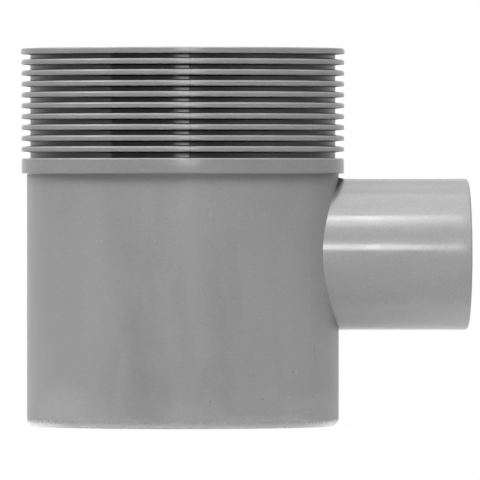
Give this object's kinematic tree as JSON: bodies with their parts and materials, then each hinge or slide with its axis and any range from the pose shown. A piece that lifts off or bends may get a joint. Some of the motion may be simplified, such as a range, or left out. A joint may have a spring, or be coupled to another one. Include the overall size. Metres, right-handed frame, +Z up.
{
  "type": "drain trap body",
  "caption": "Upright drain trap body with a ribbed neck, a plain band, a round side outlet spigot and a removable dip-tube insert that holds the water seal.",
  "frame": {"origin": "centre of the underside, on the axis of the cup", "axes": "+Z up along the axis of the cup and neck, +X out along the axis of the side outlet"},
  "size_m": [0.2202, 0.1594, 0.1859],
  "materials": {
    "body_plastic": "grey moulded plastic, satin, with faint flow streaks and fine grain",
    "insert_plastic": "lighter grey moulded plastic, satin",
    "seal_rubber": "black rubber, matt"
  },
  "bodies": {
    "root": {"trap_body": "body_plastic", "dip_tube_insert": "insert_plastic", "lip_seal": "seal_rubber"}
  },
  "joints": []
}
